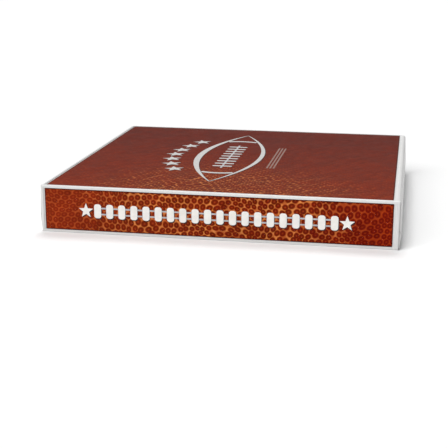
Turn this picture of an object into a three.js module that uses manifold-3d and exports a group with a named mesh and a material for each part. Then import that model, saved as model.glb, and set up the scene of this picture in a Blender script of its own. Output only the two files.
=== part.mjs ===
// A fully enclosed ring case for collectible football cards, lying flat on its back cover.
// Two moulded trays and a spine panel are joined by living hinges along the spine. Each of the three
// panels shows a printed sheet under a clear film. Two snap latches close the edge opposite the spine,
// and three split rings on a rail hold the pages inside.
//
// Millimetres, +Z up. The origin is the centre of the footprint, on the surface that the case lies on.
// X runs along the spine, -Y is the spine side and +Y is the side that opens.
import * as THREE from "three";
import { mergeVertices } from "three/addons/utils/BufferGeometryUtils.js";
import Module from "manifold-3d";

const wasm = await Module();
wasm.setup();

// ---------------------------------------------------------------- driving dimensions
const HEIGHT = 40; // closed case, over both covers
const LENGTH = 299; // along the spine, over the flanges at the parting line
const DEPTH = 289; // spine face to the opening wall at the parting line
const SPINE_LENGTH = 295;
const PARTING_Z = 12.8; // where the shallow base meets the deep lid
const GAP = 0.3; // between pieces that turn past each other
const FIT = 0.05; // between pieces that lie on each other

const PANEL = 2; // covers and spine panel
const WALL = 1.8;
const CORNER = 6; // plan radius of the two corners on the opening side
const LID_DRAFT = 1.3; // how far the lid's walls lean in, over their height
const BASE_DRAFT = 0.93;
const LID_ROUND = 2.2; // edge radius between wall and cover
const BASE_ROUND = 3;
const HINGE_R = PANEL / 2; // living-hinge bead, as thick as the panels it joins
const TONGUE = 0.7; // inner lip of the base that closes the joint against dust
const TONGUE_RISE = 2;

const RECESS = 0.6; // pocket in each outer face for the print and the film
const SHEET = 0.25; // thickness of a print, and of a film

const LATCH_REACH = 4.8; // fingernail lip of a latch, beyond the opening wall
const LATCH_X = 121.8;
const LATCH_WIDTH = 22.8;
const LATCH_PIVOT = { out: 0.75, z: 18.9, r: 0.9 };
const WINDOW = { width: 14.4, low: 4.7, high: 8.2 };

const LEDGE = { length: 52, rise: 3.6, reach: 1.8, x: 64.3, z: 7.9 };
const NOTCH_Z = 16; // top of the base's middle tab, which the lid's notch clears

const RING_PITCH = 108; // standard three-hole punching
const RING = { fromSpine: 32, z: 16.5, outer: 16.5, inner: 13.9, width: 6 };
const RING_PIVOT = { y: -9, z: 7.4, knuckle: 2.5, bore: 1.5, pin: 1.2 };
const RING_BLOCK = { width: 14, top: 9.5, spineSide: -12.2, pageSide: 17.2 };
const RAIL = { length: 266, spineSide: -13, pageSide: 19, thick: 2.5 };
const STUD = { xs: [-124, -54, 54, 124], y: 3, r: 1.6, rise: 4.2 };

// ---------------------------------------------------------------- worked out from them
const SPINE_Y = -(DEPTH + LATCH_REACH) / 2;
const OPEN_Y = SPINE_Y + DEPTH;
const PANEL_EDGE = 2 * HINGE_R + GAP; // from a folded corner's faces to the panels on either side of its bead
const LID_LOW = PARTING_Z + GAP / 2;
const BASE_HIGH = PARTING_Z - GAP / 2;
const RING_Y = SPINE_Y + RING.fromSpine;
const RAIL_Z = PANEL + FIT;
const RAIL_TOP = RAIL_Z + RAIL.thick;

const WHITE = 0xf2f2f0;
const plastic = new THREE.MeshStandardMaterial({ color: WHITE, roughness: 0.42, metalness: 0 });
const latchPlastic = new THREE.MeshStandardMaterial({ color: WHITE, roughness: 0.35, metalness: 0 });
const ringPlastic = new THREE.MeshStandardMaterial({ color: 0xf6f6f4, roughness: 0.3, metalness: 0 });
const pinPlastic = new THREE.MeshStandardMaterial({ color: 0xdcdcd8, roughness: 0.35, metalness: 0 });
const printPaper = new THREE.MeshStandardMaterial({ color: 0x7a3524, roughness: 0.6, metalness: 0 });
const clearFilm = new THREE.MeshStandardMaterial({
  color: 0xffffff, roughness: 0.12, metalness: 0, transparent: true, opacity: 0.15,
});

// ---------------------------------------------------------------- solid helpers
// A closed three.js geometry as a manifold-3d solid.
function solid(geometry) {
  const bare = geometry.clone();
  for (const name of Object.keys(bare.attributes)) {
    if (name !== "position") bare.deleteAttribute(name);
  }
  const merged = mergeVertices(bare, 1e-4);
  return new wasm.Manifold(
    new wasm.Mesh({
      numProp: 3,
      vertProperties: merged.attributes.position.array,
      triVerts: new Uint32Array(merged.index.array),
    }),
  );
}

// A manifold-3d solid as a three.js geometry.
function geometryOf(made) {
  const mesh = made.getMesh();
  const positions = new Float32Array(mesh.numVert * 3);
  for (let i = 0; i < mesh.numVert; i++) {
    for (let k = 0; k < 3; k++) positions[3 * i + k] = mesh.vertProperties[mesh.numProp * i + k];
  }
  const geometry = new THREE.BufferGeometry();
  geometry.setAttribute("position", new THREE.BufferAttribute(positions, 3));
  geometry.setIndex(new THREE.BufferAttribute(mesh.triVerts, 1));
  geometry.computeVertexNormals();
  return geometry;
}

const union = (...solids) => solids.reduce((a, b) => a.add(b));
const cut = (from, ...solids) => solids.reduce((a, b) => a.subtract(b), from);

// A box between two corners.
function block([x0, y0, z0], [x1, y1, z1]) {
  const geometry = new THREE.BoxGeometry(x1 - x0, y1 - y0, z1 - z0);
  geometry.translate((x0 + x1) / 2, (y0 + y1) / 2, (z0 + z1) / 2);
  return solid(geometry);
}

// A rod along X, centred on y and z.
function rodX(radius, x0, x1, y, z, sides = 24) {
  const geometry = new THREE.CylinderGeometry(radius, radius, x1 - x0, sides);
  geometry.rotateZ(Math.PI / 2);
  geometry.translate((x0 + x1) / 2, y, z);
  return solid(geometry);
}

// A rod along Z, centred on x and y.
function rodZ(radius, z0, z1, x, y, sides = 20) {
  const geometry = new THREE.CylinderGeometry(radius, radius, z1 - z0, sides);
  geometry.rotateX(Math.PI / 2);
  geometry.translate(x, y, (z0 + z1) / 2);
  return solid(geometry);
}

// A shape drawn in Y and Z, carried along X.
function alongX(shape, x0, x1, curveSegments = 12) {
  const geometry = new THREE.ExtrudeGeometry(shape, { depth: x1 - x0, bevelEnabled: false, curveSegments });
  const yz = new THREE.Matrix4().makeBasis(
    new THREE.Vector3(0, 1, 0), new THREE.Vector3(0, 0, 1), new THREE.Vector3(1, 0, 0),
  );
  geometry.applyMatrix4(yz);
  geometry.translate(x0, 0, 0);
  return solid(geometry);
}

// A shape drawn in X and Z, carried along Y.
function alongY(shape, y0, y1) {
  const geometry = new THREE.ExtrudeGeometry(shape, { depth: y1 - y0, bevelEnabled: false });
  geometry.rotateX(Math.PI / 2);
  geometry.translate(0, y1, 0);
  return solid(geometry);
}

const polygon = (points) => new THREE.Shape(points.map(([a, b]) => new THREE.Vector2(a, b)));

// ---------------------------------------------------------------- tray shells
// Plan outline of a tray, moved in from the parting-line outline by inset. The spine side is straight
// with square ends; the two corners on the opening side are round.
function outline(inset, spineSide) {
  const halfX = LENGTH / 2 - inset;
  const openSide = OPEN_Y - inset;
  const radius = Math.max(CORNER - inset, 1);
  const steps = 8;
  const points = [[-halfX, spineSide], [halfX, spineSide]];
  for (const [side, from] of [[1, 0], [-1, Math.PI / 2]]) {
    for (let i = 0; i <= steps; i++) {
      const angle = from + (i / steps) * (Math.PI / 2);
      points.push([
        side * (halfX - radius) + radius * Math.cos(angle),
        openSide - radius + radius * Math.sin(angle),
      ]);
    }
  }
  return points;
}

// A closed solid through horizontal outlines of equal point count, lowest first.
function loft(levels, spineSide) {
  const rings = levels.map(({ z, inset }) => outline(inset, spineSide).map(([x, y]) => [x, y, z]));
  const count = rings[0].length;
  const positions = [];
  const triangle = (a, b, c) => positions.push(...a, ...b, ...c);
  for (let level = 0; level + 1 < rings.length; level++) {
    const [low, high] = [rings[level], rings[level + 1]];
    for (let i = 0; i < count; i++) {
      const j = (i + 1) % count;
      triangle(low[i], low[j], high[j]);
      triangle(low[i], high[j], high[i]);
    }
  }
  const flat = (ring) => ring.map(([x, y]) => new THREE.Vector2(x, y));
  const [bottom, top] = [rings[0], rings.at(-1)];
  for (const [a, b, c] of THREE.ShapeUtils.triangulateShape(flat(top), [])) {
    triangle(top[a], top[b], top[c]);
    triangle(bottom[a], bottom[c], bottom[b]);
  }
  const geometry = new THREE.BufferGeometry();
  geometry.setAttribute("position", new THREE.Float32BufferAttribute(positions, 3));
  return solid(geometry);
}

// How far the lid's and the base's outer walls lean in at height z.
const lidInset = (z) => (LID_DRAFT * (z - LID_LOW)) / (HEIGHT - LID_ROUND - LID_LOW);
const baseInset = (z) => (BASE_DRAFT * (BASE_HIGH - z)) / (BASE_HIGH - BASE_ROUND);

// Quarter-round levels that turn a wall into a cover; up is 1 for the lid and -1 for the base.
function roundedEdge(startInset, startZ, radius, up) {
  const steps = 5;
  return Array.from({ length: steps + 1 }, (_, i) => {
    const angle = (i / steps) * (Math.PI / 2);
    return {
      z: startZ + up * radius * Math.sin(angle),
      inset: startInset + radius * (1 - Math.cos(angle)),
    };
  });
}

// The pocket for a print and its film in a cover's outer face, open towards the spine.
function coverPocket(edgeInset, z0, z1) {
  const halfX = LENGTH / 2 - edgeInset;
  return block([-halfX, SPINE_Y, z0], [halfX, OPEN_Y - edgeInset + 0.5, z1]);
}

// A wedge that slopes out of the opening wall and ends in an undercut for a fingernail.
function ledge(x, z, wallY) {
  const root = wallY - WALL / 2;
  const { length, rise, reach } = LEDGE;
  const section = polygon([
    [root, z], [wallY + reach - 0.3, z], [wallY + reach, z + 0.3], [wallY, z + rise], [root, z + rise],
  ]);
  const chamfer = 1.2;
  const face = polygon([
    [x - length / 2, z], [x + length / 2, z],
    [x + length / 2 - chamfer, z + rise], [x - length / 2 + chamfer, z + rise],
  ]);
  return alongX(section, x - length / 2, x + length / 2).intersect(alongY(face, root - 1, wallY + reach + 1));
}

const LID_POCKET_INSET = LID_DRAFT + LID_ROUND + 1.1;
const BASE_POCKET_INSET = BASE_DRAFT + BASE_ROUND + 1;

function lidTray() {
  const spineSide = SPINE_Y + PANEL_EDGE;
  const shell = loft([
    { z: LID_LOW, inset: 0 },
    ...roundedEdge(LID_DRAFT, HEIGHT - LID_ROUND, LID_ROUND, 1),
  ], spineSide);
  const ceiling = HEIGHT - PANEL;
  const cavity = loft([
    { z: LID_LOW - 1, inset: WALL },
    { z: ceiling, inset: WALL + LID_DRAFT },
  ], SPINE_Y - 1);
  const rebate = loft([
    { z: LID_LOW - 1, inset: WALL - TONGUE - GAP },
    { z: BASE_HIGH + TONGUE_RISE + GAP, inset: WALL - TONGUE - GAP },
  ], SPINE_Y - 1);
  const notch = block(
    [-LEDGE.length / 2 - GAP / 2, OPEN_Y - 2 * WALL, LID_LOW - 1],
    [LEDGE.length / 2 + GAP / 2, OPEN_Y + 1, NOTCH_Z + GAP],
  );
  const pocket = coverPocket(LID_POCKET_INSET, HEIGHT - RECESS, HEIGHT + 1);
  const ledgeZ = NOTCH_Z + GAP;
  const middleLedge = ledge(0, ledgeZ, OPEN_Y - lidInset(ledgeZ + LEDGE.rise));
  return union(cut(shell, cavity, rebate, notch, pocket), middleLedge);
}

// A catch on the base's wall that shows through the latch's window and holds the bar below it.
function catchNub(x) {
  const halfWidth = WINDOW.width / 2 - 0.4;
  const root = OPEN_Y - baseInset(WINDOW.low) - WALL / 2;
  const low = WINDOW.low + GAP;
  const high = WINDOW.high - GAP;
  const section = polygon([
    [root, low], [OPEN_Y + 2.2, low], [OPEN_Y + 2.2, low + 0.9], [OPEN_Y + 0.6, high], [root, high],
  ]);
  return alongX(section, x - halfWidth, x + halfWidth);
}

function baseTray() {
  const spineSide = SPINE_Y + PANEL_EDGE;
  const shell = loft([
    ...roundedEdge(BASE_DRAFT, BASE_ROUND, BASE_ROUND, -1).reverse(),
    { z: BASE_HIGH, inset: 0 },
  ], spineSide);
  const cavity = (from, inset) => loft([
    { z: PANEL, inset: inset + BASE_DRAFT },
    { z: from, inset },
    { z: HEIGHT, inset },
  ], SPINE_Y - 1);
  const tongue = loft([
    { z: BASE_HIGH - 1, inset: WALL - TONGUE },
    { z: BASE_HIGH + TONGUE_RISE, inset: WALL - TONGUE },
  ], spineSide);
  const middleTab = block(
    [-LEDGE.length / 2 + GAP / 2, OPEN_Y - WALL, PARTING_Z - 1.5],
    [LEDGE.length / 2 - GAP / 2, OPEN_Y - lidInset(NOTCH_Z), NOTCH_Z],
  );
  const studs = STUD.xs.map((x) => rodZ(STUD.r, PANEL - 0.5, PANEL + STUD.rise, x, RING_Y + STUD.y));
  const ledges = [-LEDGE.x, LEDGE.x].map((x) => ledge(x, LEDGE.z, OPEN_Y - baseInset(LEDGE.z + LEDGE.rise)));
  const nubs = [-LATCH_X, LATCH_X].map(catchNub);
  const pocket = coverPocket(BASE_POCKET_INSET, -1, RECESS);
  const walls = cut(union(shell, tongue, middleTab), cavity(BASE_HIGH - 1, WALL));
  return cut(union(walls, ...studs, ...ledges, ...nubs), pocket);
}

// ---------------------------------------------------------------- spine, hinge beads, prints and films
function spinePanel() {
  const half = SPINE_LENGTH / 2;
  const panel = block([-half, SPINE_Y, PANEL_EDGE], [half, SPINE_Y + PANEL, HEIGHT - PANEL_EDGE]);
  const pocket = block([2 - half, SPINE_Y - 1, 0], [half - 2, SPINE_Y + RECESS, HEIGHT]);
  return cut(panel, pocket);
}

const hingeBead = () => rodX(HINGE_R, -SPINE_LENGTH / 2, SPINE_LENGTH / 2, 0, 0, 32);

// The prints lie loose in their pockets, a little to the left of centre.
const PRINT_SHIFT = -0.7;
const COVER_PRINT = { halfX: 143, from: SPINE_Y + 3, to: OPEN_Y - 5 };
const BACK_PRINT = { halfX: 142.6, from: SPINE_Y + 3, to: OPEN_Y - 5.6 };
const SPINE_PRINT = { halfX: 143.5, low: 2.5, high: HEIGHT - 2.5 };

// A thin sheet parallel to a cover, between two depths below its outer face; up is 1 on the lid.
function coverSheet({ halfX, from, to }, shift, depth, faceZ, up) {
  const [a, b] = [faceZ - up * depth, faceZ - up * (depth + SHEET)].sort((p, q) => p - q);
  return block([shift - halfX, from, a], [shift + halfX, to, b]);
}

function spineSheet({ halfX, low, high }, shift, depth) {
  return block([shift - halfX, SPINE_Y + depth, low], [shift + halfX, SPINE_Y + depth + SHEET, high]);
}

const PRINT_DEPTH = RECESS - FIT - SHEET;
const filmOver = (pocketInset) => ({
  halfX: LENGTH / 2 - pocketInset - 0.2,
  from: SPINE_Y + PANEL_EDGE + 0.2,
  to: OPEN_Y - pocketInset + 0.3,
});
const SPINE_FILM = { halfX: SPINE_LENGTH / 2 - 2.2, low: PANEL_EDGE + 0.1, high: HEIGHT - PANEL_EDGE - 0.1 };

// ---------------------------------------------------------------- latches
// A latch about its own hinge line. Its section runs out from the opening wall: a barrel, a sloping
// shoulder, a flat plate over the parting line and a curled lip for the fingernail.
function latch() {
  const { out, z: pivotZ, r } = LATCH_PIVOT;
  const at = (fromWall, height) => [fromWall - out, height - pivotZ];
  const half = LATCH_WIDTH / 2;
  const section = new THREE.Shape();
  section.moveTo(...at(out, pivotZ + r));
  section.lineTo(...at(out + 0.5, pivotZ + 0.7));
  section.lineTo(...at(2.7, 15.7));
  section.lineTo(...at(2.7, 4.2));
  section.quadraticCurveTo(...at(2.8, 2.4), ...at(LATCH_REACH - 0.1, 1.6));
  section.quadraticCurveTo(...at(LATCH_REACH, 0.9), ...at(LATCH_REACH - 0.4, 0.5));
  section.quadraticCurveTo(...at(2, 0.6), ...at(1.4, 3));
  section.lineTo(...at(1.3, 14.6));
  section.lineTo(...at(out - 0.6, pivotZ - 0.6));
  const plate = alongX(section, -half, half, 5);
  const barrel = rodX(r, -half, half, 0, 0, 20);
  const above = LATCH_REACH;
  const low = (height) => height - pivotZ;
  const face = polygon([
    [-half, above], [-half, low(5.4)], [1.4 - half, low(3.9)], [-7, low(2.9)], [-6.7, low(0)],
    [6.7, low(0)], [7, low(2.9)], [half - 1.4, low(3.9)], [half, low(5.4)], [half, above],
  ]);
  const window = block([-WINDOW.width / 2, -5, low(WINDOW.low)], [WINDOW.width / 2, 5, low(WINDOW.high)]);
  return cut(union(plate, barrel).intersect(alongY(face, -5, 6)), window);
}

// ---------------------------------------------------------------- rings
// Each ring is built about the point on the back cover below its middle, with its width along X.
// A piece of the ring's band, between two radii and two angles (degrees from +Y, towards +Z).
function band(outer, inner, from, to) {
  const [a, b] = [THREE.MathUtils.degToRad(from), THREE.MathUtils.degToRad(to)];
  const shape = new THREE.Shape();
  shape.absarc(0, RING.z, outer, a, b, false);
  shape.absarc(0, RING.z, inner, b, a, true);
  return alongX(shape, -RING.width / 2, RING.width / 2, 20);
}

const RING_MIDDLE = (RING.outer + RING.inner) / 2;
const BLOCK_HALF = RING_BLOCK.width / 2;
const pivotRod = (radius, half, sides = 24) => rodX(radius, -half, half, RING_PIVOT.y, RING_PIVOT.z, sides);

// The fixed half of a ring, on a block with two ears that carry the arm's pin.
function ringPost() {
  const foot = block(
    [-BLOCK_HALF, RING_BLOCK.spineSide, RAIL_TOP + FIT],
    [BLOCK_HALF, RING_BLOCK.pageSide, RING_BLOCK.top],
  );
  const ears = pivotRod(RING_PIVOT.knuckle + 0.7, BLOCK_HALF);
  const slotHalf = RING.width / 2 + 0.4;
  const slot = block([-slotHalf, -20, 0], [slotHalf, RING_PIVOT.y + 3.2, RING_BLOCK.top + 3]);
  const below = block([-BLOCK_HALF - 1, -20, -5], [BLOCK_HALF + 1, 30, RAIL_TOP + FIT]);
  const bore = pivotRod(RING_PIVOT.bore, BLOCK_HALF + 1, 20);
  const outerHalf = band(RING.outer, RING_MIDDLE - 0.4, -28, 82);
  const innerHalf = band(RING_MIDDLE - GAP / 2, RING.inner, -28, 90);
  return union(cut(union(foot, ears), slot, bore, below), outerHalf, innerHalf);
}

// The half of a ring that opens, on a knuckle between the post's ears. Its tip laps over the post's.
function ringArm() {
  const half = RING.width / 2;
  const { y, z, knuckle } = RING_PIVOT;
  const heel = polygon([[y - 0.6, z - 2.2], [y + 1.6, z + 1.6], [-12.9, 11.8], [-15.6, 11.2]]);
  const outerHalf = band(RING.outer, RING_MIDDLE + GAP / 2, 84, 199);
  const innerHalf = band(RING_MIDDLE + 0.4, RING.inner, 91.5, 199);
  const bore = pivotRod(RING_PIVOT.bore, BLOCK_HALF + 1, 20);
  return cut(union(pivotRod(knuckle, half), alongX(heel, -half, half), outerHalf, innerHalf), bore);
}

function ringPin() {
  const { y, z, pin } = RING_PIVOT;
  const shank = rodX(pin, -BLOCK_HALF - 0.6, BLOCK_HALF + 0.6, y, z, 20);
  return union(shank, rodX(2, BLOCK_HALF + 0.2, BLOCK_HALF + 1.2, y, z, 20));
}

// ---------------------------------------------------------------- rail
function ringRail() {
  const half = RAIL.length / 2;
  const bar = block([-half, RAIL.spineSide, RAIL_Z], [half, RAIL.pageSide, RAIL_TOP]);
  const holes = STUD.xs.map((x) => rodZ(STUD.r + GAP, 0, RAIL_TOP + 1, x, STUD.y));
  return cut(bar, ...holes);
}

// A push-on cap that holds the rail down on one of the base's studs.
function railCap() {
  const inner = STUD.r + GAP;
  const profile = [[inner, 0], [4, 0], [4, 0.6], [3.2, 1.2], [inner, 1.2], [inner, 0]];
  const geometry = new THREE.LatheGeometry(profile.map(([r, h]) => new THREE.Vector2(r, h)), 24);
  geometry.rotateX(Math.PI / 2);
  return solid(geometry);
}

// ---------------------------------------------------------------- the assembly
// A named piece in a group, at a place in the group's own frame.
function add(group, name, made, material, [x, y, z] = [0, 0, 0]) {
  const mesh = new THREE.Mesh(geometryOf(made), material.clone());
  mesh.name = name;
  mesh.position.set(x, y, z);
  group.add(mesh);
}

const base = new THREE.Group();
add(base, "base_tray", baseTray(), plastic);
add(base, "base_living_hinge", hingeBead(), plastic, [0, SPINE_Y + HINGE_R, HINGE_R]);
add(base, "back_print", coverSheet(BACK_PRINT, 0, PRINT_DEPTH, 0, -1), printPaper);
add(base, "back_film", coverSheet(filmOver(BASE_POCKET_INSET), 0, 0, 0, -1), clearFilm);

const rings = new THREE.Group();
rings.position.set(0, RING_Y, 0);
add(rings, "ring_rail", ringRail(), ringPlastic);
STUD.xs.forEach((x, i) => {
  add(rings, `rail_cap_${i + 1}`, railCap(), ringPlastic, [x, STUD.y, RAIL_TOP + FIT]);
});
[-RING_PITCH, 0, RING_PITCH].forEach((x, i) => {
  const ring = new THREE.Group();
  ring.position.x = x;
  add(ring, `ring_post_${i + 1}`, ringPost(), ringPlastic);
  add(ring, `ring_arm_${i + 1}`, ringArm(), ringPlastic);
  add(ring, `ring_pin_${i + 1}`, ringPin(), pinPlastic);
  rings.add(ring);
});
base.add(rings);

const spine = new THREE.Group();
add(spine, "spine_panel", spinePanel(), plastic);
add(spine, "spine_print", spineSheet(SPINE_PRINT, PRINT_SHIFT, PRINT_DEPTH), printPaper);
add(spine, "spine_film", spineSheet(SPINE_FILM, 0, 0), clearFilm);
add(spine, "lid_living_hinge", hingeBead(), plastic, [0, SPINE_Y + HINGE_R, HEIGHT - HINGE_R]);

const lid = new THREE.Group();
add(lid, "lid_tray", lidTray(), plastic);
add(lid, "cover_print", coverSheet(COVER_PRINT, PRINT_SHIFT, PRINT_DEPTH, HEIGHT, 1), printPaper);
add(lid, "cover_film", coverSheet(filmOver(LID_POCKET_INSET), 0, 0, HEIGHT, 1), clearFilm);
const latchLine = [OPEN_Y + LATCH_PIVOT.out, LATCH_PIVOT.z];
add(lid, "latch_left", latch(), latchPlastic, [-LATCH_X, ...latchLine]);
add(lid, "latch_right", latch(), latchPlastic, [LATCH_X, ...latchLine]);

const ringCase = new THREE.Group();
ringCase.add(base, spine, lid);

export default ringCase;
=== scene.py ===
import math

import bmesh
import bpy
from mathutils import Matrix, Vector


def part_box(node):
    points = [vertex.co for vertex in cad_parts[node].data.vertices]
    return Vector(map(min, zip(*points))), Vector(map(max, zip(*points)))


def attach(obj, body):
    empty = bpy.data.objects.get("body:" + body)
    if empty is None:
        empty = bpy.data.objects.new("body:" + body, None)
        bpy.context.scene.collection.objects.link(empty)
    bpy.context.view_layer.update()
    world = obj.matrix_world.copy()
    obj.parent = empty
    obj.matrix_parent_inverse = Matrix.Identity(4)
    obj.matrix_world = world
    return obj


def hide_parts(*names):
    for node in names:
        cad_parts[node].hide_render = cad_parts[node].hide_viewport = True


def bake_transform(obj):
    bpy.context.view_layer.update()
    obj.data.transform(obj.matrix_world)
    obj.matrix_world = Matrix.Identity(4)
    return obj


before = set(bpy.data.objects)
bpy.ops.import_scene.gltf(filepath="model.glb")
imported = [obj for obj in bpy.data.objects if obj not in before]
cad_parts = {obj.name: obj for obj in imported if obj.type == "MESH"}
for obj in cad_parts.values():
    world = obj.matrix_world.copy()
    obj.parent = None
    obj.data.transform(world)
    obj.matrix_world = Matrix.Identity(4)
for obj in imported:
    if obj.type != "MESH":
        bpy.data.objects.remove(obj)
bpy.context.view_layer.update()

# A card album's case: two trays folded round a spine panel, with a print under a film on each face, two
# latches, and split rings on a rail inside. The CAD's rings, pins, rail and caps stay, with rounded edges
# and a finish. Every other CAD node is replaced by a finer piece in the same place.

# ---------------------------------------------------------------- sizes, in millimetres
MM = 0.001
spine_low, spine_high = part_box("spine_panel")
lid_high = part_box("lid_tray")[1]
SPINE = spine_low.y / MM  # the spine's outer face
SPINE_HALF = spine_high.x / MM
HEIGHT = lid_high.z / MM
HALF = lid_high.x / MM  # half the length at the parting line
OPEN = SPINE + 289  # the opening wall at the parting line
PARTING = 12.8
GAP = 0.3
PANEL = 2.0  # the trays' and the spine's thickness
WALL = 1.8  # the thickness of the trays' walls
CORNER = 6.0
LID_DRAFT, LID_ROUND = 1.3, 2.2
BASE_DRAFT, BASE_ROUND = 0.93, 3.0
INNER_ROUND = 2.0  # where a tray's wall meets its floor, inside
HINGE_R = 1.0  # the living hinges' outer radius
HINGE_SPAN = 2.3  # from the closed case's corner to where a panel ends and its living hinge starts
TRAY_EDGE = SPINE + HINGE_SPAN  # where both trays start, behind the spine
RECESS = 0.6  # the depth of the pockets for the prints
POCKET_EDGE = 0.08  # the small chamfer at a pocket's mouth
TONGUE, TONGUE_TALL = 0.7, 2.0
LID_LOW = PARTING + GAP / 2
BASE_HIGH = PARTING - GAP / 2
LID_POCKET = LID_DRAFT + LID_ROUND + 1.1
BASE_POCKET = BASE_DRAFT + BASE_ROUND + 1
LEDGE_RISE, LEDGE_REACH, LEDGE_HALF = 3.6, 1.8, 26.0
BASE_LEDGE_X, BASE_LEDGE_Z = 64.3, 7.9
TAB_LOW, TAB_TOP, TAB_HALF = 11.3, 16.0, 25.85  # the base's middle tab, in the lid's notch
STUD_Y, STUD_TOP, STUD_R = SPINE + 35, 6.2, 1.6  # the studs for the rail's caps
STUD_PLACES = (-124, -54, 54, 124)
LATCH_X, LATCH_HALF = 121.8, 11.4
LATCH_TOP, LATCH_OUT = 18.9, 0.75  # a latch's hinge line: its height and its distance from the wall
LATCH_R = 0.9  # the radius of a latch's rolled top
WINDOW_LOW, WINDOW_HIGH, WINDOW_HALF = 4.7, 8.2, 7.2  # the window in a latch
RIB_PITCH, RIB_HALF, RIB_LOW, RIB_HIGH = 2.3, 0.35, 9.7, 12.5  # the grip ribs on a latch
GUIDE_HALF, GUIDE_LOW, GUIDE_HIGH = 2.9, 3.6, 19.3  # the pads beside each latch
GUIDE_PLACE = LATCH_HALF + 0.5 + GUIDE_HALF  # from a latch's middle to a pad's middle
INK = 0.012  # the thickness of a printed graphic
SMOOTH = 35  # faces that meet at less than this angle are shaded as one, in degrees


# ---------------------------------------------------------------- mesh helpers
def link(name, mesh):
    """A new object in the scene with this mesh."""
    obj = bpy.data.objects.new(name, mesh)
    bpy.context.scene.collection.objects.link(obj)
    return obj


def from_bmesh(name, bm, smooth=SMOOTH):
    """An object from a bmesh in millimetres, faces out, shaded smooth up to an angle."""
    bmesh.ops.remove_doubles(bm, verts=bm.verts, dist=1e-5)
    bmesh.ops.recalc_face_normals(bm, faces=bm.faces)
    bmesh.ops.scale(bm, vec=(MM, MM, MM), verts=bm.verts)
    mesh = bpy.data.meshes.new(name)
    bm.to_mesh(mesh)
    bm.free()
    mesh.shade_smooth()
    mesh.set_sharp_from_angle(angle=math.radians(smooth))
    return link(name, mesh)


def placed(plane, u, v, w):
    """A point from drawing coordinates: plane names the drawing's two axes, and w is along the third."""
    return {"yz": (w, u, v), "xz": (u, w, v), "xy": (u, v, w)}[plane]


def prism(plane, points, low, high, bevel=0.0, segments=2, into=None):
    """A drawn outline carried along the third axis, from low to high. A bevel goes on its sharp edges."""
    bm = into or bmesh.new()
    sharp = math.radians(25)
    a = [bm.verts.new(placed(plane, u, v, low)) for u, v in points]
    b = [bm.verts.new(placed(plane, u, v, high)) for u, v in points]
    count = len(points)
    made = [bm.faces.new(a), bm.faces.new(b)]
    for i in range(count):
        j = (i + 1) % count
        made.append(bm.faces.new((a[i], a[j], b[j], b[i])))
    bmesh.ops.recalc_face_normals(bm, faces=made)
    if bevel:
        edges = {e for f in made for e in f.edges if e.calc_face_angle(0) > sharp}
        bmesh.ops.bevel(
            bm, geom=list(edges), offset=bevel, segments=segments, profile=0.5,
            affect="EDGES", clamp_overlap=True,
        )
    return bm


def boolean(target, tool, operation):
    """target joined with or cut by tool, which is used up."""
    modifier = target.modifiers.new("boolean", "BOOLEAN")
    modifier.operation = operation
    modifier.solver = "EXACT"
    modifier.object = tool
    bpy.context.view_layer.update()
    evaluated = target.evaluated_get(bpy.context.evaluated_depsgraph_get())
    mesh = bpy.data.meshes.new_from_object(evaluated)
    target.modifiers.clear()
    old = target.data
    target.data = mesh
    bpy.data.meshes.remove(old)
    bpy.data.objects.remove(tool)
    mesh.shade_smooth()
    mesh.set_sharp_from_angle(angle=math.radians(SMOOTH))
    return target


def arc(u, v, radius, start, end, steps):
    """Points on an arc about (u, v), from one angle to another, in degrees."""
    angles = [math.radians(start + (end - start) * i / steps) for i in range(steps + 1)]
    return [(u + radius * math.cos(angle), v + radius * math.sin(angle)) for angle in angles]


def rounded_rectangle(u0, v0, u1, v1, radius, steps=5):
    """A rectangle's outline, from its lowest corner to its highest, with steps lines round each corner."""
    return [
        *arc(u1 - radius, v0 + radius, radius, -90, 0, steps),
        *arc(u1 - radius, v1 - radius, radius, 0, 90, steps),
        *arc(u0 + radius, v1 - radius, radius, 90, 180, steps),
        *arc(u0 + radius, v0 + radius, radius, 180, 270, steps),
    ]


# ---------------------------------------------------------------- node helpers
def new_material(name):
    """A material with one shader and nothing else, with its node tree and that shader."""
    material = bpy.data.materials.new(name)
    material.use_nodes = True
    tree = material.node_tree
    tree.nodes.clear()
    shader = tree.nodes.new("ShaderNodeBsdfPrincipled")
    output = tree.nodes.new("ShaderNodeOutputMaterial")
    tree.links.new(shader.outputs[0], output.inputs[0])
    return material, tree, shader


def node(tree, kind, settings=None, **inputs):
    """A shader node. An input is named, or numbered as i0, i1 and so on, and its value is a number, a colour
    or another node's socket."""
    made = tree.nodes.new("ShaderNode" + kind)
    for key, value in (settings or {}).items():
        setattr(made, key, value)
    for key, value in inputs.items():
        numbered = key[0] == "i" and key[1:].isdigit()
        socket = made.inputs[int(key[1:]) if numbered else key.replace("_", " ")]
        if isinstance(value, bpy.types.NodeSocket):
            tree.links.new(value, socket)
        else:
            socket.default_value = value
    return made


def maths(tree, operation, a, b=0.0):
    """One sum, or any other Math operation, on numbers or sockets."""
    return node(tree, "Math", {"operation": operation}, i0=a, i1=b).outputs[0]


def vector_maths(tree, operation, *operands):
    """The same for vectors. Gives the node's outputs."""
    numbered = {f"i{place}": operand for place, operand in enumerate(operands)}
    return node(tree, "VectorMath", {"operation": operation}, **numbered).outputs


def mix(tree, factor, a, b):
    """A colour from a, where factor is 0, to b, where it is 1. Each is a colour or a socket."""
    made = node(tree, "Mix", {"data_type": "RGBA"}, i0=factor)
    for socket, value in ((made.inputs[6], a), (made.inputs[7], b)):
        if isinstance(value, bpy.types.NodeSocket):
            tree.links.new(value, socket)
        else:
            socket.default_value = (*value, 1)
    return made.outputs[2]


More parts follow.
